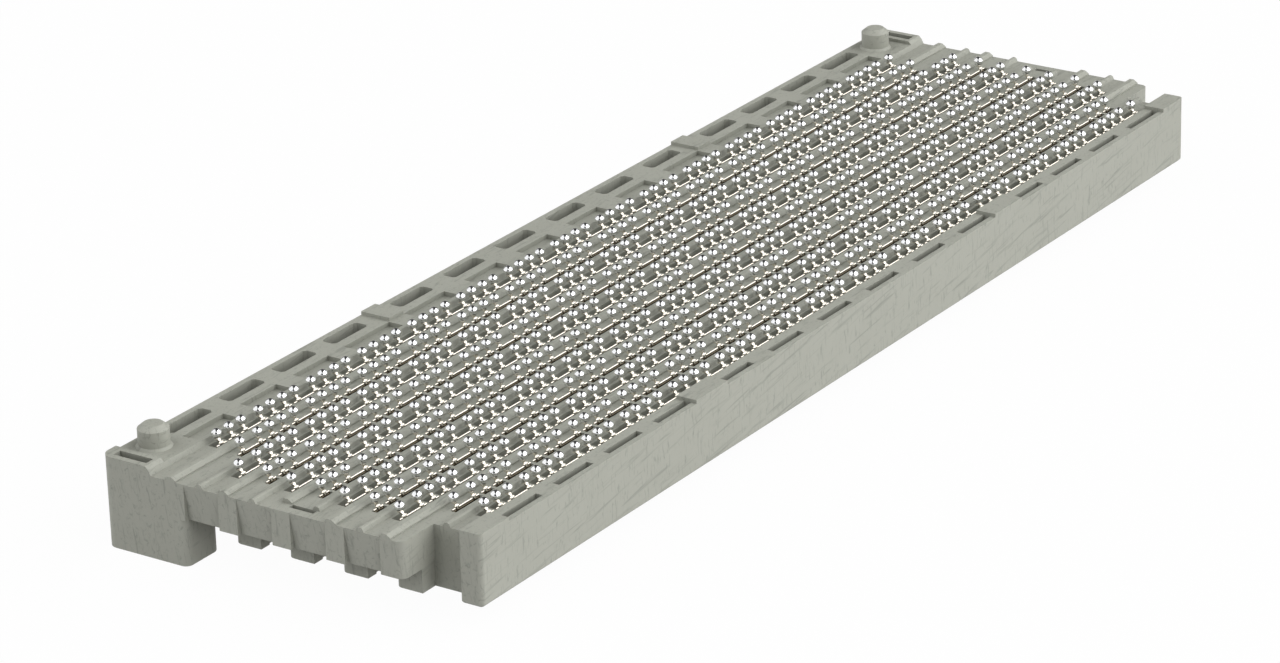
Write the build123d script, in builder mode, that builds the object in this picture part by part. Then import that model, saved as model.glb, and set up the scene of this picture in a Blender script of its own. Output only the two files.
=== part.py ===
from build123d import *
import os

os.makedirs("parts", exist_ok=True)

# Sizes in millimetres. X runs along the rows, Y across them, and +Z is the side that faces the circuit board.
# The part rests at z = 0 on its rear wall and on the two corner blocks.

# Grid of solder balls, which alternate in groups of two signal terminals and one ground terminal
row_count = 11
row_pitch = 1.5
column_count = 32
column_pitch = 2.0
outer_row_inset = 1
pair_spacing = 0.9
ground_tail_spacing = 1.3
ball_diameter = 0.5
ball_centre_height = 0.49

# Heights of the housing: the floor between the balls, and what stands above and hangs below it
floor_z = 4.11
terrace_height = 0.24
land_height = 0.18
rail_height = 0.21
deck_thickness = 1.81
tongue_tip_z = 1.09
front_wall_tip_z = 0.97

# Deck in plan: margins outside the outer columns and rows, and the set-back of the front part
deck_end_margin = 2.9
rear_margin = 3.225
front_margin = 1.775
band_inset = 2.35
deck_front_overhang = 0.15
deck_corner_radius = 0.4
rear_corner_radius = 0.6

# Rear wall and corner blocks, with room for the front wall of the mating part
rear_wall_thickness = 1.7
block_length = 2.4
block_width = 4.77
block_outer_radius = 0.35
block_inner_radius = 0.5
mate_end_clearance = 0.1
mate_side_clearance = 0.2

# Front wall
front_wall_inset = 1.65
front_wall_thickness = 1.12
front_wall_corner_radius = 0.25
front_wall_edge_chamfer = 0.13
front_wall_foot_gap = 0.05
front_wall_slope = 0.23
end_wall_thickness = 1.0

# Terminals: each blade lies on a face of a tongue and its head turns out towards the ball
blade_thickness = 0.1
blade_gap = 0.14
blade_tip_z = 1.3
head_thickness = 0.12
head_reach = 0.12
odd_face_offset = 0.315
even_face_offset = 0.115
odd_slot_width = 0.48
even_slot_width = 0.3
slot_end_clearance = 0.05
tongue_end_margin = 0.42
tongue_corner_radius = 0.36

# Rails between the ball rows
wide_rail_offset = 0.84
wide_rail_width = 0.56
wide_rail_top_width = 0.26
wide_rail_rear_edge = 0.08
wide_rail_chamfer_height = 0.14
narrow_rail_offset = 0.97
narrow_rail_width = 0.42
narrow_rail_crown_width = 0.26
narrow_rail_crown_height = 0.04
short_rail_inset = 0.8

# Terrace and raised lands; the step to a pad is in column pitches
terrace_foot_gap = 0.3
terrace_slope = 0.13
pad_step = 6.78
pad_length = 1.12
rim_width = 1.14
rim_chamfer = 0.17

# Pockets that keep the moulding thin, alike along both long edges; the steps are in column pitches
pocket_length = 2.72
pocket_stretch = 0.29
inner_pocket_step = 2.2
outer_pocket_step = 2.0
outer_pocket_first_step = 8.2
rear_pocket_width = 0.8
rear_pocket_skin = 0.32
rear_pocket_depth = 1.4
rear_pocket_chamfer = 0.15
front_pocket_width = 0.38
front_pocket_skin = 0.3
front_pocket_depth = 1.4
recess_edge_gap = 0.25
recess_width = 0.86
pad_gap = 0.05

# Slots in the end rims and in the two ends of the deck
rim_slot_width = 0.5
rim_slot_length = 1.92
rim_slot_depth = 1.0
rim_slot_edge_gap = 0.35
end_slot_width = 0.3
end_slot_length = 1.35
end_slot_depth = 0.5
end_slot_edge_gap = 0.5

# Locating pegs
peg_diameter = 1.5
peg_height = 1.13
peg_chamfer_width = 0.28
peg_chamfer_height = 0.23
peg_foot_size = 0.12
peg_end_distance = 2.38
peg_rear_distance = 1.24

# Sloped panels between the pilasters of both end faces
pilaster_width = 1.05
pilaster_offset = 0.08
panel_slope_depth = 0.25

# Places worked out from the sizes above
half_length = (column_count - 1) / 2 * column_pitch + deck_end_margin
wall_half_length = half_length - front_wall_inset
band_half_length = half_length - band_inset
rear_y = ((row_count - 1) * row_pitch + rear_margin + front_margin) / 2
front_y = -rear_y
deck_under_z = floor_z - deck_thickness
rail_top_z = floor_z + rail_height
terrace_z = floor_z + terrace_height
land_z = terrace_z + land_height
ball_radius = ball_diameter / 2
ball_centre_z = floor_z + ball_centre_height
signal_width = pair_spacing - blade_gap
ground_width = 2 * column_pitch - 2 * blade_gap - pair_spacing - signal_width


def row_y(row):
    return rear_y - rear_margin - (row - 1) * row_pitch


def is_odd(row):
    return row % 2 == 1


def face_y(row):
    """Y of the face that carries the blades of a row: the rear of a tongue, or its front for an even row."""
    return row_y(row) - (odd_face_offset if is_odd(row) else even_face_offset)


def column_x(column):
    return (column - (column_count - 1) / 2) * column_pitch


def columns_of(row):
    """Columns of a row; the two first and the two last rows are shorter."""
    inset = outer_row_inset if row in (1, 2, row_count - 1, row_count) else 0
    return range(inset, column_count - inset)


def is_ground(row, column):
    """Ground terminals stand in turn with the signal pairs, and the rows are staggered."""
    return (row + column) % 2 == 1


def cell_reach(row, column):
    """Distance from the middle of a cell to the outer edge of its terminals."""
    return ground_width / 2 if is_ground(row, column) else (pair_spacing + signal_width) / 2


def slot_reach(row):
    """Start and end X of the slot of a row."""
    first, *_, last = columns_of(row)
    start = column_x(first) - cell_reach(row, first) - slot_end_clearance
    end = column_x(last) + cell_reach(row, last) + slot_end_clearance
    return start, end


terrace_foot_y = row_y(1) + terrace_foot_gap
terrace_edge_y = terrace_foot_y + terrace_slope
recess_front_y = terrace_edge_y + recess_edge_gap
recess_rear_y = recess_front_y + recess_width
rear_wall_inner_y = rear_y - rear_wall_thickness
block_front_y = rear_y - block_width
deck_front_y = face_y(row_count - 1) - deck_front_overhang
front_wall_inner_y = front_y + front_wall_thickness
front_foot_y = face_y(row_count) - front_wall_foot_gap
rear_pocket_y = rear_y - rear_pocket_skin - rear_pocket_width / 2
front_pocket_y = front_y + front_pocket_skin + front_pocket_width / 2

# Start and end X of every pocket of a long edge
pocket_middles = [(number - 2.5) * inner_pocket_step * column_pitch for number in range(6)]
for number in range(4):
    outer_middle = (outer_pocket_first_step + number * outer_pocket_step) * column_pitch
    pocket_middles += [outer_middle, -outer_middle]
pocket_middles.sort()
pocket_spans = [(middle - pocket_length / 2, middle + pocket_length / 2) for middle in pocket_middles]
pocket_spans[0] = (pocket_spans[0][0] - pocket_stretch, pocket_spans[0][1])
pocket_spans[-1] = (pocket_spans[-1][0], pocket_spans[-1][1] + pocket_stretch)

# The recesses beside them are drawn out to the raised pads
pad_middle_x = pad_step * column_pitch
pad_inner_x = pad_middle_x - pad_length / 2 - pad_gap
pad_outer_x = pad_middle_x + pad_length / 2 + pad_gap
recess_spans = list(pocket_spans)
recess_spans[3] = (pocket_spans[3][0], -pad_outer_x)
recess_spans[4] = (-pad_inner_x, pocket_spans[4][1])
recess_spans[9] = (pocket_spans[9][0], pad_inner_x)
recess_spans[10] = (pad_outer_x, pocket_spans[10][1])

# Raised stretches of the front wall: its two ends and the wide bridges between pockets
land_spans = [(-wall_half_length, pocket_spans[0][0]), (pocket_spans[3][1], pocket_spans[4][0]),
              (pocket_spans[9][1], pocket_spans[10][0]), (pocket_spans[-1][1], wall_half_length)]


def box_between(x_span, y_span, z_span, mode=Mode.ADD):
    """Block between two X, two Y and two Z values."""
    spans = (x_span, y_span, z_span)
    with Locations(tuple(sum(span) / 2 for span in spans)):
        Box(*(abs(span[1] - span[0]) for span in spans), mode=mode)


def upright_edges(builder, x, y):
    """Upright edges at a distance x from the middle of the length and at a place y of the width."""
    edges = builder.edges().filter_by(Axis.Z)
    return edges.filter_by(lambda edge: abs(abs(edge.center().X) - x) < 0.001 and abs(edge.center().Y - y) < 0.001)


# Housing: one grey moulding
with BuildPart() as housing:
    # Deck, narrower where the last two rows stand, with short ears for the ends of the front wall
    with BuildSketch(Plane.XY.offset(deck_under_z)):
        with BuildLine():
            Polyline((0, rear_y), (half_length, rear_y), (half_length, deck_front_y),
                     (band_half_length, deck_front_y), (band_half_length, front_wall_inner_y),
                     (wall_half_length, front_wall_inner_y), (wall_half_length, front_y), (0, front_y))
            mirror(about=Plane.YZ)
        make_face()
    extrude(amount=floor_z - deck_under_z)
    fillet(upright_edges(housing, half_length, deck_front_y), deck_corner_radius)

    # Rear wall with the two corner blocks, which leave a slot for the front wall of the mating part
    block_inner_x = half_length - block_length
    mate_end_x = wall_half_length + mate_end_clearance
    mate_front_y = rear_wall_inner_y - front_wall_thickness - 2 * mate_side_clearance
    with BuildSketch():
        with BuildLine():
            Polyline((0, rear_y), (half_length, rear_y), (half_length, block_front_y),
                     (block_inner_x, block_front_y), (block_inner_x, mate_front_y),
                     (mate_end_x, mate_front_y), (mate_end_x, rear_wall_inner_y), (0, rear_wall_inner_y))
            mirror(about=Plane.YZ)
        make_face()
    extrude(amount=deck_under_z)

    # Rounded upright edges of the blocks
    fillet(upright_edges(housing, half_length, block_front_y), block_outer_radius)
    fillet(upright_edges(housing, block_inner_x, block_front_y), block_inner_radius)

    # Front wall, with row 11 on its inner face
    box_between((-wall_half_length, wall_half_length), (front_y, front_wall_inner_y),
                (front_wall_tip_z, deck_under_z))
    box_between((-band_half_length, band_half_length), (front_wall_inner_y, face_y(row_count)),
                (front_wall_tip_z, deck_under_z))

    # Terrace beside row 1 and the top of the front wall, both with a sloped inner face
    front_edge_y = front_foot_y - front_wall_slope
    for reach, outer_y, edge_y, foot_y in ((half_length, rear_y, terrace_edge_y, terrace_foot_y),
                                           (band_half_length, front_y, front_edge_y, front_foot_y)):
        with BuildSketch(Plane.YZ.offset(-reach)):
            with BuildLine():
                Polyline((outer_y, floor_z), (outer_y, terrace_z), (edge_y, terrace_z), (foot_y, floor_z), close=True)
            make_face()
        extrude(amount=2 * reach)
    box_between((-wall_half_length, wall_half_length), (front_y, front_wall_inner_y), (floor_z, terrace_z))

    # Raised rims at both ends of the terrace, raised pads at its rear and raised lands on the front wall
    with BuildSketch(Plane.XY.offset(terrace_z)):
        for side in (-1, 1):
            with Locations((side * (half_length - rim_width / 2), (terrace_edge_y + rear_y) / 2)):
                Rectangle(rim_width, rear_y - terrace_edge_y)
            with Locations((side * pad_middle_x, (recess_rear_y + rear_y) / 2)):
                Rectangle(pad_length, rear_y - recess_rear_y)
        for start, end in land_spans:
            with Locations(((start + end) / 2, (front_y + front_wall_inner_y) / 2)):
                Rectangle(end - start, front_wall_thickness)
    extrude(amount=land_z - terrace_z)
    fillet(upright_edges(housing, half_length, rear_y), rear_corner_radius)
    fillet(upright_edges(housing, wall_half_length, front_y), front_wall_corner_radius)
    rim_edges = housing.edges().filter_by(Axis.X).filter_by(
        lambda edge: abs(edge.center().Y - terrace_edge_y) < 0.001 and abs(edge.center().Z - land_z) < 0.001)
    chamfer(rim_edges, rim_chamfer)
    lower_edge = housing.edges().filter_by(Axis.X).group_by(Axis.Y)[0].sort_by(Axis.Z)[0]
    chamfer(lower_edge, front_wall_edge_chamfer)

    # Tongues: each carries an odd row on its rear face and the next even row on its front face, and past
    # the ends of a row its plan is thicker by one blade
    for row in range(1, row_count - 1, 2):
        rear, front = face_y(row), face_y(row + 1)
        reach = max(abs(end) for end in slot_reach(row)) + tongue_end_margin
        rear_start, rear_end = slot_reach(row)
        front_start, front_end = slot_reach(row + 1)
        proud_rear = rear + blade_thickness
        proud_front = front - blade_thickness
        with BuildSketch(Plane.XY.offset(tongue_tip_z)) as tongue_plan:
            with BuildLine():
                Polyline((-reach, proud_rear), (rear_start, proud_rear), (rear_start, rear), (rear_end, rear),
                         (rear_end, proud_rear), (reach, proud_rear), (reach, proud_front), (front_end, proud_front),
                         (front_end, front), (front_start, front), (front_start, proud_front),
                         (-reach, proud_front), close=True)
            make_face()
            if row > 1:
                corners = tongue_plan.vertices().filter_by(lambda vertex: abs(abs(vertex.X) - reach) < 0.001)
                fillet(corners.group_by(Axis.Y)[-1], tongue_corner_radius)
        extrude(amount=deck_under_z - tongue_tip_z)

    # End walls between the last tongue and the front wall
    for side in (-1, 1):
        box_between((side * band_half_length, side * (band_half_length - end_wall_thickness)),
                    (face_y(row_count - 1), face_y(row_count)), (tongue_tip_z, deck_under_z))

    # Rails between the ball rows
    for row in range(1, row_count):
        reach = half_length
        if row in (row_count // 2, row_count // 2 + 1):
            reach = half_length - short_rail_inset
        if row == row_count - 1:
            reach = band_half_length
        wide = is_odd(row)
        middle = row_y(row) - (wide_rail_offset if wide else narrow_rail_offset)
        half_width = (wide_rail_width if wide else narrow_rail_width) / 2
        with BuildSketch(Plane.YZ.offset(-reach)):
            with BuildLine():
                if wide:
                    top_rear = middle + half_width - wide_rail_rear_edge
                    Polyline((middle + half_width, floor_z), (top_rear, rail_top_z),
                             (top_rear - wide_rail_top_width, rail_top_z),
                             (middle - half_width, rail_top_z - wide_rail_chamfer_height),
                             (middle - half_width, floor_z), close=True)
                else:
                    crown = narrow_rail_crown_width / 2
                    shoulder_z = rail_top_z - narrow_rail_crown_height
                    Polyline((middle - crown, shoulder_z), (middle - half_width, floor_z),
                             (middle + half_width, floor_z), (middle + crown, shoulder_z))
                    ThreePointArc((middle - crown, shoulder_z), (middle, rail_top_z), (middle + crown, shoulder_z))
            make_face()
        extrude(amount=2 * reach)

    # Terminal slots through the deck, each along the face that carries the blades
    for row in range(1, row_count + 1):
        face = face_y(row)
        slot = (face, face + odd_slot_width) if is_odd(row) else (face - even_slot_width, face)
        box_between(slot_reach(row), slot, (deck_under_z, floor_z), Mode.SUBTRACT)

    # Pockets in the rear edge and in the front wall
    with BuildSketch(Plane.XY.offset(terrace_z)) as rear_pockets:
        for start, end in pocket_spans:
            with Locations(((start + end) / 2, rear_pocket_y)):
                Rectangle(end - start, rear_pocket_width)
        chamfer(rear_pockets.vertices(), rear_pocket_chamfer)
    extrude(amount=-rear_pocket_depth, mode=Mode.SUBTRACT)
    with BuildSketch(Plane.XY.offset(terrace_z)):
        for start, end in pocket_spans:
            with Locations(((start + end) / 2, front_pocket_y)):
                Rectangle(end - start, front_pocket_width)
    extrude(amount=-front_pocket_depth, mode=Mode.SUBTRACT)

    # Shallow recesses between row 1 and the rear pockets, as deep as the floor
    with BuildSketch(Plane.XY.offset(terrace_z)):
        for start, end in recess_spans:
            with Locations(((start + end) / 2, (recess_front_y + recess_rear_y) / 2)):
                Rectangle(end - start, recess_width)
    extrude(amount=floor_z - terrace_z, mode=Mode.SUBTRACT)

    # Slots in the end rims and in the two ends of the deck
    rim_slot_y = terrace_edge_y + rim_slot_edge_gap + rim_slot_length / 2
    for side in (-1, 1):
        with Locations((side * (half_length - rim_width / 2), rim_slot_y, land_z - rim_slot_depth / 2)):
            Box(rim_slot_width, rim_slot_length, rim_slot_depth, mode=Mode.SUBTRACT)
        with Locations((side * (half_length - end_slot_edge_gap - end_slot_width / 2),
                        row_y(row_count // 2 + 1) - end_slot_length / 4, floor_z - end_slot_depth / 2)):
            Box(end_slot_width, end_slot_length, end_slot_depth, mode=Mode.SUBTRACT)

    # Sloped panels between the pilasters of both end faces
    pilaster_middles = [(face_y(row) + face_y(row + 1)) / 2 - pilaster_offset for row in range(1, row_count - 1, 2)]
    for side in (-1, 1):
        for rear_middle, front_middle in zip(pilaster_middles, pilaster_middles[1:]):
            panel_rear_y = rear_middle - pilaster_width / 2
            panel_front_y = front_middle + pilaster_width / 2
            with BuildSketch(Plane.XZ.offset(-panel_rear_y)):
                with BuildLine():
                    Polyline((side * half_length, floor_z), (side * half_length, deck_under_z),
                             (side * (half_length - panel_slope_depth), deck_under_z), close=True)
                make_face()
            extrude(amount=panel_rear_y - panel_front_y, mode=Mode.SUBTRACT)

    # Locating pegs with a sloped foot and a chamfered tip
    peg_y = rear_y - peg_rear_distance
    for side in (-1, 1):
        peg_x = side * (half_length - peg_end_distance)
        peg_plane = Plane(origin=(peg_x, peg_y, terrace_z), x_dir=(1, 0, 0), z_dir=(0, -1, 0))
        with BuildSketch(peg_plane):
            with BuildLine():
                Polyline((0, 0), (peg_diameter / 2 + peg_foot_size, 0), (peg_diameter / 2, peg_foot_size),
                         (peg_diameter / 2, peg_height - peg_chamfer_height),
                         (peg_diameter / 2 - peg_chamfer_width, peg_height), (0, peg_height), close=True)
            make_face()
        revolve(axis=Axis((peg_x, peg_y, 0), (0, 0, 1)))

housing.part.label = "housing"
export_step(housing.part, "parts/housing.step")


def make_terminal(row, width):
    """One terminal at x = 0: a blade that thins towards its tip, with a head turned out under the ball."""
    face = face_y(row)
    head_y = row_y(row) - ball_radius + head_reach
    head_z = ball_centre_z - ball_radius
    if is_odd(row):
        corners = [(face, blade_tip_z), (face + blade_thickness, head_z - head_thickness), (head_y, head_z),
                   (face, head_z)]
    else:
        corners = [(face, blade_tip_z), (face, head_z - head_thickness), (head_y, head_z),
                   (face - blade_thickness, head_z)]
    with BuildPart() as terminal:
        with BuildSketch(Plane.YZ):
            with BuildLine():
                Polyline(*corners, close=True)
            make_face()
        extrude(amount=width / 2, both=True)
    return terminal.part


def make_ball():
    """One solder ball at the origin, with eight faces."""
    with BuildPart() as ball:
        with BuildSketch():
            RegularPolygon(ball_radius, 4)
        loft(sections=[Vertex(0, 0, -ball_radius), ball.pending_faces[0], Vertex(0, 0, ball_radius)], ruled=True)
    return ball.part


# The eleven rows: signal terminals in pairs, ground terminals with two balls each
ball_solid = make_ball()
for row in range(1, row_count + 1):
    signal_solid = make_terminal(row, signal_width)
    ground_solid = make_terminal(row, ground_width)
    signal_x = []
    ground_x = []
    ball_x = []
    for column in columns_of(row):
        middle = column_x(column)
        spacing = ground_tail_spacing if is_ground(row, column) else pair_spacing
        ball_x += [middle - spacing / 2, middle + spacing / 2]
        if is_ground(row, column):
            ground_x.append(middle)
        else:
            signal_x += [middle - spacing / 2, middle + spacing / 2]

    with BuildPart() as signal_terminals:
        with Locations(*[(x, 0, 0) for x in signal_x]):
            add(signal_solid)
    signal_terminals.part.label = f"signal_terminals_row_{row:02d}"
    export_step(signal_terminals.part, f"parts/signal_terminals_row_{row:02d}.step")

    with BuildPart() as ground_terminals:
        with Locations(*[(x, 0, 0) for x in ground_x]):
            add(ground_solid)
    ground_terminals.part.label = f"ground_terminals_row_{row:02d}"
    export_step(ground_terminals.part, f"parts/ground_terminals_row_{row:02d}.step")

    with BuildPart() as solder_balls:
        with Locations(*[(x, row_y(row), ball_centre_z) for x in ball_x]):
            add(ball_solid)
    solder_balls.part.label = f"solder_balls_row_{row:02d}"
    export_step(solder_balls.part, f"parts/solder_balls_row_{row:02d}.step")
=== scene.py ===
import math

import bmesh
import bpy
from mathutils import Matrix, Vector


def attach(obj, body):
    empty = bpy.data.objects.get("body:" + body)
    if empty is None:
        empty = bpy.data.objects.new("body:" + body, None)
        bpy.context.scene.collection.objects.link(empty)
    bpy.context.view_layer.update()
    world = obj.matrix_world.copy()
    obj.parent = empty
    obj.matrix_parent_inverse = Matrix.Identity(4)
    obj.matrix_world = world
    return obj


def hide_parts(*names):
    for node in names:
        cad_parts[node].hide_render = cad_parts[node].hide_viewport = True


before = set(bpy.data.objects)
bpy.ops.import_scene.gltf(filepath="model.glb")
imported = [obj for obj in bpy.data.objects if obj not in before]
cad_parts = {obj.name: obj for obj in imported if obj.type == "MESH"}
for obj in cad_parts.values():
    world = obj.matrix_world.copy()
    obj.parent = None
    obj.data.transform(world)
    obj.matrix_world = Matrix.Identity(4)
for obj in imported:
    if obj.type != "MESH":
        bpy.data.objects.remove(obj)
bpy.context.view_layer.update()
scene = bpy.context.scene
scene.view_settings.view_transform = "Standard"
mm = 0.001
print("frame loaded:", len(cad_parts), "nodes")


# Camera, floor and light

view = {
    "place": (-0.191987, -0.128532, 0.096072),
    "forward": (0.76168, 0.52337, -0.38201),
    "rollDegrees": 1.670,  # the right side of the picture tips down
    "lens": 141.36,
    "sensor": 36.0,
    "clip": (0.01, 20),
}


def addCamera():
    data = bpy.data.cameras.new("camera")
    data.sensor_fit = "HORIZONTAL"
    data.sensor_width = view["sensor"]
    data.lens = view["lens"]
    data.clip_start, data.clip_end = view["clip"]
    camera = bpy.data.objects.new("camera", data)
    scene.collection.objects.link(camera)
    forward = Vector(view["forward"]).normalized()
    level = forward.cross(Vector((0, 0, 1))).normalized()
    upright = level.cross(forward)
    roll = math.radians(view["rollDegrees"])
    right = level * math.cos(roll) - upright * math.sin(roll)
    up = upright * math.cos(roll) + level * math.sin(roll)
    turn = Matrix((right, up, -forward)).transposed()
    camera.matrix_world = Matrix.Translation(view["place"]) @ turn.to_4x4()
    scene.camera = camera


addCamera()

studio = {
    "target": (0.0, 0.0, 0.003),
    "distance": 0.60,
    "rightSize": (1.50, 1.15),
    "rightAngles": (76, 27),  # degrees round the object from the camera, and above the floor
    "rightPower": 10.0,
    "leftSize": (1.30, 1.10),
    "leftAngles": (-80, 32),
    "leftPower": 4.3,
    "horizonLight": 0.4,
    "skyLight": 0.06,
    "horizonFade": 0.22,
    "floorSize": 1.6,
    "floorDrop": 0.00002,
    "floorWhite": 0.9,
    "floorShade": 0.35,  # how much light the floor throws back on the object
    "floorGlow": 0.97,
}


def addLamp(name, direction, width, height, power):
    data = bpy.data.lights.new(name, "AREA")
    data.shape = "RECTANGLE"
    data.size = width
    data.size_y = height
    data.energy = power
    lamp = bpy.data.objects.new(name, data)
    scene.collection.objects.link(lamp)
    lamp.location = Vector(studio["target"]) + direction * studio["distance"]
    lamp.rotation_euler = direction.to_track_quat("Z", "Y").to_euler()


def aroundCamera(turnDegrees, heightDegrees):
    towards = -Vector(view["forward"])
    angle = math.atan2(towards.y, towards.x) + math.radians(turnDegrees)
    height = math.radians(heightDegrees)
    flat = math.cos(height)
    return Vector((math.cos(angle) * flat, math.sin(angle) * flat, math.sin(height)))


for side in ("right", "left"):
    direction = aroundCamera(*studio[side + "Angles"])
    addLamp(side + "Softbox", direction, *studio[side + "Size"], studio[side + "Power"])


def addNode(tree, kind, x, y, **values):
    node = tree.nodes.new(kind)
    node.location = (x, y)
    for name, value in values.items():
        setattr(node, name, value)
    return node


def mathNode(tree, operation, x, y, first=None, second=None, clamp=False):
    node = addNode(tree, "ShaderNodeMath", x, y, operation=operation, use_clamp=clamp)
    for socket, value in zip(node.inputs, (first, second)):
        if value is None:
            continue
        if isinstance(value, (int, float)):
            socket.default_value = value
        else:
            tree.links.new(value, socket)
    return node.outputs[0]


def addWorld():
    world = bpy.data.worlds.new("studioWorld")
    scene.world = world
    world.use_nodes = True
    tree = world.node_tree
    tree.nodes.clear()
    place = addNode(tree, "ShaderNodeTexCoord", -800, 0)
    split = addNode(tree, "ShaderNodeSeparateXYZ", -600, 0)
    fade = addNode(tree, "ShaderNodeMapRange", -400, 0, interpolation_type="SMOOTHSTEP")
    fade.inputs["From Min"].default_value = 0.0
    fade.inputs["From Max"].default_value = studio["horizonFade"]
    fade.inputs["To Min"].default_value = studio["horizonLight"]
    fade.inputs["To Max"].default_value = studio["skyLight"]
    back = addNode(tree, "ShaderNodeBackground", -150, 0)
    white = addNode(tree, "ShaderNodeBackground", -150, -160)
    rays = addNode(tree, "ShaderNodeLightPath", -400, 260)
    mix = addNode(tree, "ShaderNodeMixShader", 60, 0)
    out = addNode(tree, "ShaderNodeOutputWorld", 260, 0)
    back.inputs["Color"].default_value = (1, 1, 1, 1)
    white.inputs["Color"].default_value = (1, 1, 1, 1)
    white.inputs["Strength"].default_value = 1
    tree.links.new(place.outputs["Generated"], split.inputs[0])
    tree.links.new(split.outputs["Z"], fade.inputs["Value"])
    tree.links.new(fade.outputs[0], back.inputs["Strength"])
    tree.links.new(rays.outputs["Is Camera Ray"], mix.inputs[0])
    tree.links.new(back.outputs[0], mix.inputs[1])
    tree.links.new(white.outputs[0], mix.inputs[2])
    tree.links.new(mix.outputs[0], out.inputs[0])


def addFloor():
    bm = bmesh.new()
    bmesh.ops.create_grid(bm, x_segments=1, y_segments=1, size=studio["floorSize"] / 2)
    bmesh.ops.translate(bm, verts=bm.verts, vec=(0, 0, -studio["floorDrop"]))
    mesh = bpy.data.meshes.new("studioFloor")
    bm.to_mesh(mesh)
    bm.free()
    floor = bpy.data.objects.new("studioFloor", mesh)
    scene.collection.objects.link(floor)
    material = bpy.data.materials.new("paleFloor")
    material.use_nodes = True
    tree = material.node_tree
    tree.nodes.clear()
    rays = addNode(tree, "ShaderNodeLightPath", -500, 200)
    seen = mathNode(tree, "MAXIMUM", -300, 200, rays.outputs["Is Camera Ray"], rays.outputs["Is Glossy Ray"])
    share = mathNode(tree, "MULTIPLY", -120, 200, seen, studio["floorGlow"])
    matt = addNode(tree, "ShaderNodeBsdfDiffuse", -120, 0)
    tone = addNode(tree, "ShaderNodeMapRange", -300, 0)
    tone.inputs["To Min"].default_value = studio["floorShade"]
    tone.inputs["To Max"].default_value = studio["floorWhite"]
    tree.links.new(seen, tone.inputs["Value"])
    tree.links.new(tone.outputs[0], matt.inputs["Color"])
    glow = addNode(tree, "ShaderNodeEmission", -120, -140)
    glow.inputs["Strength"].default_value = 1
    mix = addNode(tree, "ShaderNodeMixShader", 80, 60)
    out = addNode(tree, "ShaderNodeOutputMaterial", 260, 60)
    tree.links.new(share, mix.inputs[0])
    tree.links.new(matt.outputs[0], mix.inputs[1])
    tree.links.new(glow.outputs[0], mix.inputs[2])
    tree.links.new(mix.outputs[0], out.inputs[0])
    mesh.materials.append(material)


addWorld()
addFloor()
print("camera, floor and light ready")


# Effects that several finishes share

def newGroup(name, inputs, outputs):
    group = bpy.data.node_groups.new(name, "ShaderNodeTree")
    for label, kind, value in inputs:
        socket = group.interface.new_socket(label, in_out="INPUT", socket_type=kind)
        if value is not None:
            socket.default_value = value
    for label, kind in outputs:
        group.interface.new_socket(label, in_out="OUTPUT", socket_type=kind)
    start = addNode(group, "NodeGroupInput", -900, 0)
    end = addNode(group, "NodeGroupOutput", 500, 0)
    return group, start.outputs, end.inputs


def makeGrain():
    group, given, result = newGroup(
        "surfaceGrain",
        [("Vector", "NodeSocketVector", None), ("Fine Scale", "NodeSocketFloat", 9000.0),
         ("Cloud Scale", "NodeSocketFloat", 600.0)],
        [("Height", "NodeSocketFloat"), ("Cloud", "NodeSocketFloat")])
    fine = addNode(group, "ShaderNodeTexNoise", -500, 120)
    fine.inputs["Detail"].default_value = 4
    fine.inputs["Roughness"].default_value = 0.65
    cloud = addNode(group, "ShaderNodeTexNoise", -500, -160)
    cloud.inputs["Detail"].default_value = 5
    cloud.inputs["Roughness"].default_value = 0.6
    for texture, scale in ((fine, "Fine Scale"), (cloud, "Cloud Scale")):
        group.links.new(given["Vector"], texture.inputs["Vector"])
        group.links.new(given[scale], texture.inputs["Scale"])
    group.links.new(fine.outputs[0], result["Height"])
    group.links.new(cloud.outputs[0], result["Cloud"])
    return group


def makeStreaks():
    group, given, result = newGroup(
        "drawnStreaks",
        [("Vector", "NodeSocketVector", None), ("Stretch", "NodeSocketVector", (60, 1200, 1200)),
         ("Turn", "NodeSocketVector", (0, 0, 0)), ("Low", "NodeSocketFloat", 0.52),
         ("High", "NodeSocketFloat", 0.75)],
        [("Mask", "NodeSocketFloat")])
    turned = addNode(group, "ShaderNodeMapping", -700, 60)
    group.links.new(given["Vector"], turned.inputs["Vector"])
    group.links.new(given["Turn"], turned.inputs["Rotation"])
    stretched = addNode(group, "ShaderNodeMapping", -480, 60)
    group.links.new(turned.outputs[0], stretched.inputs["Vector"])
    group.links.new(given["Stretch"], stretched.inputs["Scale"])
    marks = addNode(group, "ShaderNodeTexNoise", -260, 60)
    marks.inputs["Scale"].default_value = 1
    marks.inputs["Detail"].default_value = 6
    marks.inputs["Roughness"].default_value = 0.62
    marks.inputs["Distortion"].default_value = 0.9
    group.links.new(stretched.outputs[0], marks.inputs["Vector"])
    cut = addNode(group, "ShaderNodeMapRange", 0, 60, interpolation_type="SMOOTHSTEP")
    group.links.new(marks.outputs[0], cut.inputs["Value"])
    group.links.new(given["Low"], cut.inputs["From Min"])
    group.links.new(given["High"], cut.inputs["From Max"])
    group.links.new(cut.outputs[0], result["Mask"])
    return group


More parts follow.
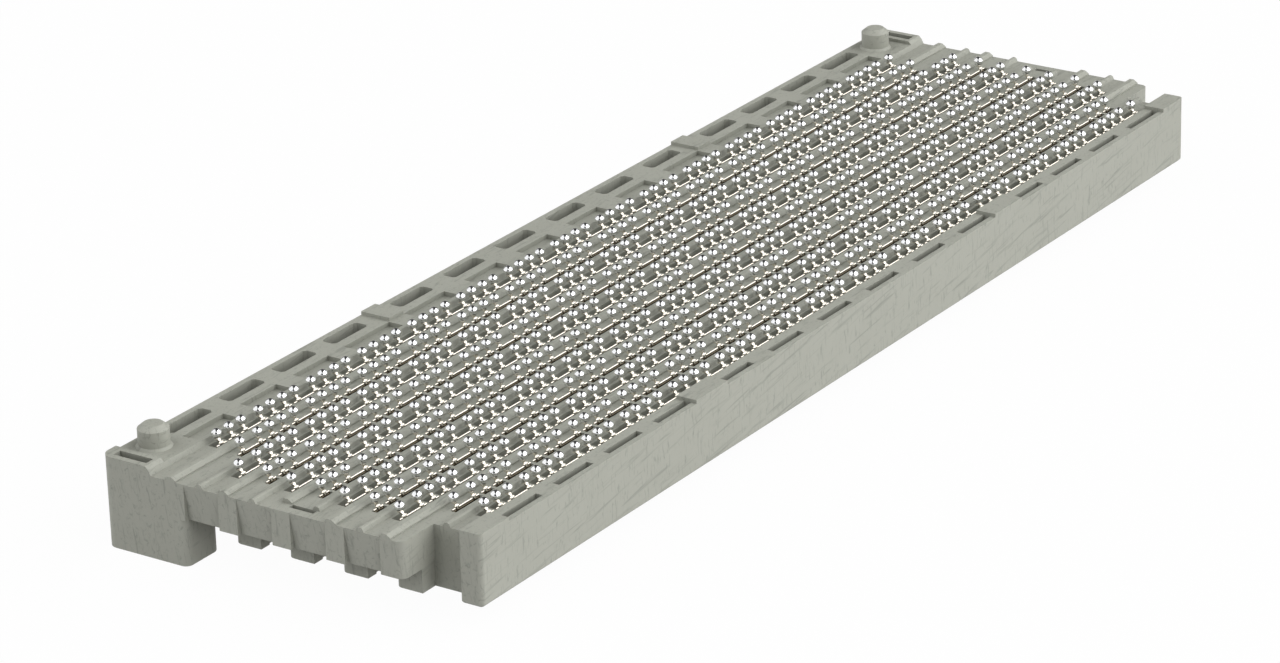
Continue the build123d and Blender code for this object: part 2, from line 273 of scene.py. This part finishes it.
# the mask marks edges where a rounded normal turns away from the face's own; the plastic uses it to paint a highlight
# along edges
def makeEdges():
    group, given, result = newGroup(
        "softEdgesAndHighlight", [("Radius", "NodeSocketFloat", 0.00006), ("Gain", "NodeSocketFloat", 6.0)],
        [("Normal", "NodeSocketVector"), ("Mask", "NodeSocketFloat")])
    rounded = addNode(group, "ShaderNodeBevel", -500, 80, samples=6)
    group.links.new(given["Radius"], rounded.inputs["Radius"])
    flat = addNode(group, "ShaderNodeNewGeometry", -500, -140)
    dot = addNode(group, "ShaderNodeVectorMath", -280, 0, operation="DOT_PRODUCT")
    group.links.new(rounded.outputs[0], dot.inputs[0])
    group.links.new(flat.outputs["Normal"], dot.inputs[1])
    away = mathNode(group, "SUBTRACT", -80, 0, 1.0, dot.outputs["Value"])
    edgeHighlightMask = mathNode(group, "MULTIPLY", 100, 0, away, given["Gain"], clamp=True)
    group.links.new(rounded.outputs[0], result["Normal"])
    group.links.new(edgeHighlightMask, result["Mask"])
    return group


grainGroup = makeGrain()
streakGroup = makeStreaks()
edgeGroup = makeEdges()


def placeGroup(tree, group, x, y, **values):
    node = addNode(tree, "ShaderNodeGroup", x, y, node_tree=group)
    for name, value in values.items():
        node.inputs[name.replace("_", " ")].default_value = value
    return node


def mixColours(tree, x, y, share, first, second):
    node = addNode(tree, "ShaderNodeMix", x, y, data_type="RGBA")
    for socket, value in ((node.inputs[0], share), (node.inputs[6], first), (node.inputs[7], second)):
        if isinstance(value, (int, float)):
            socket.default_value = value
        elif isinstance(value, tuple):
            socket.default_value = value + (1,)
        else:
            tree.links.new(value, socket)
    return node.outputs[2]


def newMaterial(name):
    material = bpy.data.materials.new(name)
    material.use_nodes = True
    tree = material.node_tree
    tree.nodes.clear()
    surface = addNode(tree, "ShaderNodeBsdfPrincipled", 500, 0)
    out = addNode(tree, "ShaderNodeOutputMaterial", 800, 0)
    tree.links.new(surface.outputs[0], out.inputs[0])
    place = addNode(tree, "ShaderNodeTexCoord", -1100, 0)
    return material, tree, surface, place.outputs["Object"]


def addRoughness(tree, surface, cloud, roughness, spread):
    # the cloud moves the roughness to both sides of its value
    rough = mathNode(tree, "MULTIPLY_ADD", -100, -60, cloud, spread)
    rough.node.inputs[2].default_value = roughness - spread / 2
    tree.links.new(rough, surface.inputs["Roughness"])


def addBump(tree, surface, height, strength, distance, normal=None):
    bump = addNode(tree, "ShaderNodeBump", 160, -260)
    bump.inputs["Strength"].default_value = strength
    bump.inputs["Distance"].default_value = distance
    tree.links.new(height, bump.inputs["Height"])
    if normal is not None:
        tree.links.new(normal, bump.inputs["Normal"])
    tree.links.new(bump.outputs[0], surface.inputs["Normal"])


# Grey moulded plastic

plastic = {
    "colour": (0.425, 0.432, 0.375),
    "streakColour": (0.235, 0.243, 0.212),
    # pale random tone of the cloud, and the colour of the painted highlight along edges
    "paleToneAndHighlightColour": (0.520, 0.528, 0.470),
    # painted shade: creases, recesses and the feet of rails are darkened towards this colour
    "paintedCreaseShadeColour": (0.150, 0.152, 0.130),
    "grain": {"Fine_Scale": 14000.0, "Cloud_Scale": 420.0},
    "flowMarks": {"Stretch": (260, 4200, 4200), "Turn": (0, math.radians(9), 0), "Low": 0.54, "High": 0.68},
    "dragMarks": {"Stretch": (7000, 7000, 900), "Turn": (math.radians(7), 0, 0), "Low": 0.54, "High": 0.68},
    "edges": {"Radius": 0.00002, "Gain": 2.2},
    "cloudShare": 0.5,
    "streakShare": 0.52,
    "edgeHighlightShare": 0.35,
    "paintedCreaseShadeShare": 0.65,
    "paintedShadeReach": 0.0014,
    "paintedShadeSamples": 6,
    "streakHeight": 0.8,  # beside a grain height of 1
    "roughness": 0.52,
    "roughnessSpread": 0.18,
    "specular": 0.35,
    "grainStrength": 0.6,
    "grainDepth": 0.000006,
}


def makePlastic():
    material, tree, surface, place = newMaterial("greyMoulding")
    grain = placeGroup(tree, grainGroup, -800, 300, **plastic["grain"])
    flow = placeGroup(tree, streakGroup, -800, 80, **plastic["flowMarks"])
    drag = placeGroup(tree, streakGroup, -800, -160, **plastic["dragMarks"])
    for node in (grain, flow, drag):
        tree.links.new(place, node.inputs["Vector"])
    edges = placeGroup(tree, edgeGroup, -800, -420, **plastic["edges"])
    marks = mathNode(tree, "MAXIMUM", -560, 0, flow.outputs["Mask"], drag.outputs["Mask"])
    cloudShare = mathNode(tree, "MULTIPLY", -560, 300, grain.outputs["Cloud"], plastic["cloudShare"])
    streakShare = mathNode(tree, "MULTIPLY", -380, 0, marks, plastic["streakShare"])
    clouded = mixColours(tree, -300, 300, cloudShare, plastic["colour"], plastic["paleToneAndHighlightColour"])
    streaked = mixColours(tree, -100, 200, streakShare, clouded, plastic["streakColour"])
    # painted highlight: edges are lightened towards the pale colour
    edgeHighlightShare = mathNode(tree, "MULTIPLY", -300, -300, edges.outputs["Mask"], plastic["edgeHighlightShare"])
    edgeHighlighted = mixColours(tree, 120, 160, edgeHighlightShare, streaked, plastic["paleToneAndHighlightColour"])
    # painted shade: an ambient occlusion mask darkens the colour in creases and recesses, where shade falls
    crease = addNode(tree, "ShaderNodeAmbientOcclusion", -560, 560, samples=plastic["paintedShadeSamples"], only_local=True)
    crease.inputs["Distance"].default_value = plastic["paintedShadeReach"]
    shut = mathNode(tree, "SUBTRACT", -380, 560, 1.0, crease.outputs["AO"], clamp=True)
    paintedCreaseShadeShare = mathNode(tree, "MULTIPLY", -200, 560, shut, plastic["paintedCreaseShadeShare"])
    finished = mixColours(tree, 300, 260, paintedCreaseShadeShare, edgeHighlighted, plastic["paintedCreaseShadeColour"])
    tree.links.new(finished, surface.inputs["Base Color"])
    addRoughness(tree, surface, grain.outputs["Cloud"], plastic["roughness"], plastic["roughnessSpread"])
    raised = mathNode(tree, "MULTIPLY", -300, -160, marks, plastic["streakHeight"])
    height = mathNode(tree, "ADD", -100, -260, grain.outputs["Height"], raised)
    addBump(tree, surface, height, plastic["grainStrength"], plastic["grainDepth"], edges.outputs["Normal"])
    surface.inputs["Specular IOR Level"].default_value = plastic["specular"]
    return material


# Plated terminals

plating = {
    "colour": (0.93, 0.885, 0.79),
    "shadeColour": (0.62, 0.54, 0.40),
    # painted shade: the blade's faces down in the pits take this dark colour
    "pitShadeColour": (0.20, 0.17, 0.12),
    "pitShadeStart": (0.0034, 0.0036),  # heights between which the painted shade of the pits sets in
    "sunkEnd": (0.004085, 0.004125),
    "grain": {"Fine_Scale": 22000.0, "Cloud_Scale": 2600.0},
    "drawnMarks": {"Stretch": (16000, 16000, 900), "Low": 0.42, "High": 0.78},
    "edges": {"Radius": 0.00003, "Gain": 3.0},
    "shadeShare": 0.5,
    "roughness": 0.17,
    "roughnessSpread": 0.16,
    "grainStrength": 0.5,
    "grainDepth": 0.000002,
}


def makePlating():
    material, tree, surface, place = newMaterial("palePlating")
    grain = placeGroup(tree, grainGroup, -800, 300, **plating["grain"])
    drawn = placeGroup(tree, streakGroup, -800, 40, **plating["drawnMarks"])
    edges = placeGroup(tree, edgeGroup, -800, -260, **plating["edges"])
    for node in (grain, drawn):
        tree.links.new(place, node.inputs["Vector"])
    shade = mathNode(tree, "MULTIPLY", -500, 60, drawn.outputs["Mask"], plating["shadeShare"])
    drawnColour = mixColours(tree, -260, 160, shade, plating["colour"], plating["shadeColour"])
    split = addNode(tree, "ShaderNodeSeparateXYZ", -800, 520)
    tree.links.new(place, split.inputs[0])
    shares = []
    # painted shade: between these heights the blade is darkened, where it stands in the shaded pits
    for heights, ends, y in ((plating["pitShadeStart"], (1, 0), 700), (plating["sunkEnd"], (0, 1), 420)):
        ramp = addNode(tree, "ShaderNodeMapRange", -560, y)
        ramp.inputs["From Min"].default_value, ramp.inputs["From Max"].default_value = heights
        ramp.inputs["To Min"].default_value, ramp.inputs["To Max"].default_value = ends
        tree.links.new(split.outputs["Z"], ramp.inputs["Value"])
        shares.append(ramp.outputs[0])
    clear = mathNode(tree, "MAXIMUM", -340, 560, *shares)
    colour = mixColours(tree, 120, 300, clear, plating["pitShadeColour"], drawnColour)
    tree.links.new(colour, surface.inputs["Base Color"])
    surface.inputs["Metallic"].default_value = 1
    addRoughness(tree, surface, grain.outputs["Cloud"], plating["roughness"], plating["roughnessSpread"])
    addBump(tree, surface, grain.outputs["Height"], plating["grainStrength"], plating["grainDepth"],
            edges.outputs["Normal"])
    return material


# Bright solder

solder = {
    "colour": (0.95, 0.955, 0.96),
    "dullColour": (0.84, 0.85, 0.86),
    "grain": {"Fine_Scale": 9000.0, "Cloud_Scale": 3200.0},
    "dullShare": 0.7,
    "roughness": 0.06,
    "roughnessSpread": 0.08,
    "grainStrength": 0.3,
    "grainDepth": 0.000002,
}


def makeSolder():
    material, tree, surface, place = newMaterial("brightSolder")
    grain = placeGroup(tree, grainGroup, -800, 300, **solder["grain"])
    tree.links.new(place, grain.inputs["Vector"])
    dull = mathNode(tree, "MULTIPLY", -500, 60, grain.outputs["Cloud"], solder["dullShare"])
    colour = mixColours(tree, -260, 160, dull, solder["colour"], solder["dullColour"])
    tree.links.new(colour, surface.inputs["Base Color"])
    surface.inputs["Metallic"].default_value = 1
    addRoughness(tree, surface, grain.outputs["Cloud"], solder["roughness"], solder["roughnessSpread"])
    addBump(tree, surface, grain.outputs["Height"], solder["grainStrength"], solder["grainDepth"])
    return material


plasticFinish = makePlastic()
platingFinish = makePlating()
solderFinish = makeSolder()
print("finishes ready")


# The ball grid: rows run along X, signal pairs stand in turn with ground terminals

grid = {
    "rows": 11,
    "columns": 32,
    "firstRowY": 6.775,
    "rowPitch": 1.5,
    "columnPitch": 2.0,
    "shortRowInset": 1,
    "pairSpacing": 0.9,
    "groundSpacing": 1.3,
    "slotBottom": 2.3,
}

ball = {
    "radius": 0.265,
    "height": 4.6,
    "subdivisions": 2,
}

blade = {
    "thickness": 0.10,
    "edgeThickness": 0.06,
    "signalWidth": 0.72,
    "groundWidth": 2.02,
    "tipHeight": 1.32,
    "shoulderHeight": 4.05,
    "topHeight": 4.15,
    "topTilt": -45,  # the cut edge leans to the front
    "oddPlace": -0.265,
    "evenPlace": -0.175,
    "contactBow": 0.06,
    # share of the width, share of the bow and height above the tip
    "contact": ((0.9, 0.2, 0.0), (1.0, 0.8, 0.25), (1.0, 1.0, 0.45), (1.0, 0.0, 0.95)),
    "edgeOverlap": 0.05,
    "notch": 0.08,
}

tail = {
    "stemWidth": 0.11,
    "armWidth": 0.33,
    "padWidth": 0.24,
    "thickness": 0.08,
    "proud": 0.03,  # how far the stem stands out of its blade
    # how far back, height and tilt in degrees, for the arms after a share of their width
    "stem": ((0.0, 3.92, 0), (0.0, 4.08, 0), (0.04, 4.165, 25)),
    "arms": ((1.0, 0.055, 4.185, 35), (0.85, 0.09, 4.225, 45)),
    "neck": ((0.115, 4.25, 45),),
    # place across the row, height and tilt
    "pad": ((-0.08, 4.345, 65), (0.06, 4.37, 90)),
}


def rowY(row):
    return grid["firstRowY"] - (row - 1) * grid["rowPitch"]


def columnsOf(row):
    inset = grid["shortRowInset"] if row in (1, 2, grid["rows"] - 1, grid["rows"]) else 0
    for column in range(inset, grid["columns"] - inset):
        x = (column - (grid["columns"] - 1) / 2) * grid["columnPitch"]
        yield x, (row + column) % 2 == 1


def terminalsOf(row):
    found = []
    for x, ground in columnsOf(row):
        if ground:
            found.append((x, True))
        else:
            found += [(x - grid["pairSpacing"] / 2, False), (x + grid["pairSpacing"] / 2, False)]
    return found


def growStrip(bm, thickness, stations):
    # each station is width, x, y, z and the tilt in degrees away from upright
    width, x, y, z, tilt = stations[0]
    started = bmesh.ops.create_grid(bm, x_segments=1, y_segments=1, size=0.5)
    end = started["verts"]
    bmesh.ops.scale(bm, verts=end, vec=(width, thickness, 1))
    bmesh.ops.translate(bm, verts=end, vec=(x, y, z))
    face = end[0].link_faces[0]
    for nextWidth, nextX, nextY, nextZ, nextTilt in stations[1:]:
        grown = bmesh.ops.extrude_face_region(bm, geom=[face])["geom"]
        end = [item for item in grown if isinstance(item, bmesh.types.BMVert)]
        face = next(item for item in grown if isinstance(item, bmesh.types.BMFace))
        bmesh.ops.scale(bm, verts=end, vec=(nextWidth / width, 1, 1), space=Matrix.Translation((-x, -y, -z)))
        bmesh.ops.translate(bm, verts=end, vec=(nextX - x, nextY - y, nextZ - z))
        bmesh.ops.rotate(bm, verts=end, cent=(nextX, nextY, nextZ),
                         matrix=Matrix.Rotation(math.radians(tilt - nextTilt), 3, "X"))
        width, x, y, z, tilt = nextWidth, nextX, nextY, nextZ, nextTilt


def tailStations(x, place):
    front = place - tail["proud"]
    stations = [(tail["stemWidth"], x, front + back, z, tilt) for back, z, tilt in tail["stem"]]
    stations += [(tail["armWidth"] * share, x, front + back, z, tilt) for share, back, z, tilt in tail["arms"]]
    stations += [(tail["stemWidth"], x, front + back, z, tilt) for back, z, tilt in tail["neck"]]
    stations += [(tail["padWidth"], x, y, z, tilt) for y, z, tilt in tail["pad"]]
    return stations


def makeTerminal(ground, odd):
    bm = bmesh.new()
    place = blade["oddPlace"] if odd else blade["evenPlace"]
    bow = blade["contactBow"] if odd else -blade["contactBow"]
    width = blade["groundWidth"] if ground else blade["signalWidth"]
    shoulder = blade["shoulderHeight"]
    stations = [(width * share, 0, place + bow * bowShare, blade["tipHeight"] + rise, 0)
                for share, bowShare, rise in blade["contact"]]
    growStrip(bm, blade["thickness"], stations + [(width, 0, place, shoulder, 0)])
    offset = grid["groundSpacing"] / 2
    tails = (-offset, offset) if ground else (0,)
    keep = tail["stemWidth"] / 2 + blade["notch"]
    ends = [-width / 2] + [edge for x in tails for edge in (x - keep, x + keep)] + [width / 2]
    for start, stop in zip(ends[::2], ends[1::2]):
        middle = (start + stop) / 2
        growStrip(bm, blade["edgeThickness"], [
            (stop - start, middle, place, shoulder - blade["edgeOverlap"], 0),
            (stop - start, middle, place, blade["topHeight"], blade["topTilt"])])
    for x in tails:
        growStrip(bm, tail["thickness"], tailStations(x, place))
    bmesh.ops.recalc_face_normals(bm, faces=bm.faces)
    mesh = bpy.data.meshes.new("terminalPattern")
    bm.to_mesh(mesh)
    bm.free()
    return mesh


def makeBall():
    bm = bmesh.new()
    bmesh.ops.create_icosphere(bm, subdivisions=ball["subdivisions"], radius=ball["radius"])
    bmesh.ops.translate(bm, verts=bm.verts, vec=(0, 0, ball["height"]))
    mesh = bpy.data.meshes.new("ballPattern")
    bm.to_mesh(mesh)
    bm.free()
    return mesh


def addPiece(name, bm, material, smooth=False):
    bmesh.ops.scale(bm, verts=bm.verts, vec=(mm, mm, mm))
    mesh = bpy.data.meshes.new(name)
    bm.to_mesh(mesh)
    bm.free()
    mesh.polygons.foreach_set("use_smooth", [smooth] * len(mesh.polygons))
    mesh.materials.append(material)
    piece = bpy.data.objects.new(name, mesh)
    scene.collection.objects.link(piece)
    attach(piece, "root")
    return piece


def copyAlong(pattern, places, y):
    bm = bmesh.new()
    for x in places:
        start = len(bm.verts)
        bm.from_mesh(pattern)
        bm.verts.ensure_lookup_table()
        bmesh.ops.translate(bm, verts=bm.verts[start:], vec=(x, y, 0))
    return bm


ballPattern = makeBall()
patterns = {(ground, odd): makeTerminal(ground, odd) for ground in (True, False) for odd in (True, False)}
for row in range(1, grid["rows"] + 1):
    odd = row % 2 == 1
    terminals = terminalsOf(row)
    for ground, word in ((False, "signal"), (True, "ground")):
        places = [x for x, isGround in terminals if isGround == ground]
        bm = copyAlong(patterns[(ground, odd)], places, rowY(row))
        piece = addPiece(f"{word}Terminals{row:02d}", bm, platingFinish)
        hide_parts(f"{word}_terminals_row_{row:02d}")
    places = []
    for x, ground in columnsOf(row):
        half = (grid["groundSpacing"] if ground else grid["pairSpacing"]) / 2
        places += [x - half, x + half]
    bm = copyAlong(ballPattern, places, rowY(row))
    piece = addPiece(f"solderBalls{row:02d}", bm, solderFinish, True)
    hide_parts(f"solder_balls_row_{row:02d}")
for pattern in [ballPattern, *patterns.values()]:
    bpy.data.meshes.remove(pattern)
print("terminals and solder balls ready")


# Plastic between the terminals of a row, which parts its slot into one hole for each

bridge = {
    "width": 0.19,
    "top": 4.095,
    "bottom": 3.0,
    "slotFloor": 3.80,
    "floorLift": 0.02,
    "oddSlot": (-0.315, 0.165),
    "evenSlot": (-0.415, -0.115),
    "bladeSide": 0.105,
}


def addBlock(bm, xSpan, ySpan, zSpan):
    spans = (xSpan, ySpan, zSpan)
    made = bmesh.ops.create_cube(bm, size=1)["verts"]
    bmesh.ops.scale(bm, verts=made, vec=[abs(end - start) for start, end in spans])
    bmesh.ops.translate(bm, verts=made, vec=[(start + end) / 2 for start, end in spans])


bm = bmesh.new()
for row in range(1, grid["rows"] + 1):
    odd = row % 2 == 1
    near, far = bridge["oddSlot"] if odd else bridge["evenSlot"]
    near += rowY(row)
    far += rowY(row)
    terminals = terminalsOf(row)
    halves = [(blade["groundWidth"] if ground else blade["signalWidth"]) / 2 for x, ground in terminals]
    for (x, ground), (nextX, nextGround), half, nextHalf in zip(terminals, terminals[1:], halves, halves[1:]):
        middle = (x + half + nextX - nextHalf) / 2
        addBlock(bm, (middle - bridge["width"] / 2, middle + bridge["width"] / 2), (near, far),
                 (bridge["bottom"], bridge["top"]))
    clear = (near + bridge["bladeSide"], far) if odd else (near, far - bridge["bladeSide"])
    addBlock(bm, (terminals[0][0] - halves[0], terminals[-1][0] + halves[-1]), clear,
             (grid["slotBottom"] + bridge["floorLift"], bridge["slotFloor"]))
addPiece("slotBridges", bm, plasticFinish)
print("slot bridges ready")


# The moulding itself stays as the frame has it and takes the plastic finish

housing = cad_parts["housing"]
for index in range(max(1, len(housing.material_slots))):
    if index < len(housing.material_slots):
        housing.material_slots[index].material = plasticFinish
    else:
        housing.data.materials.append(plasticFinish)
print("housing dressed")
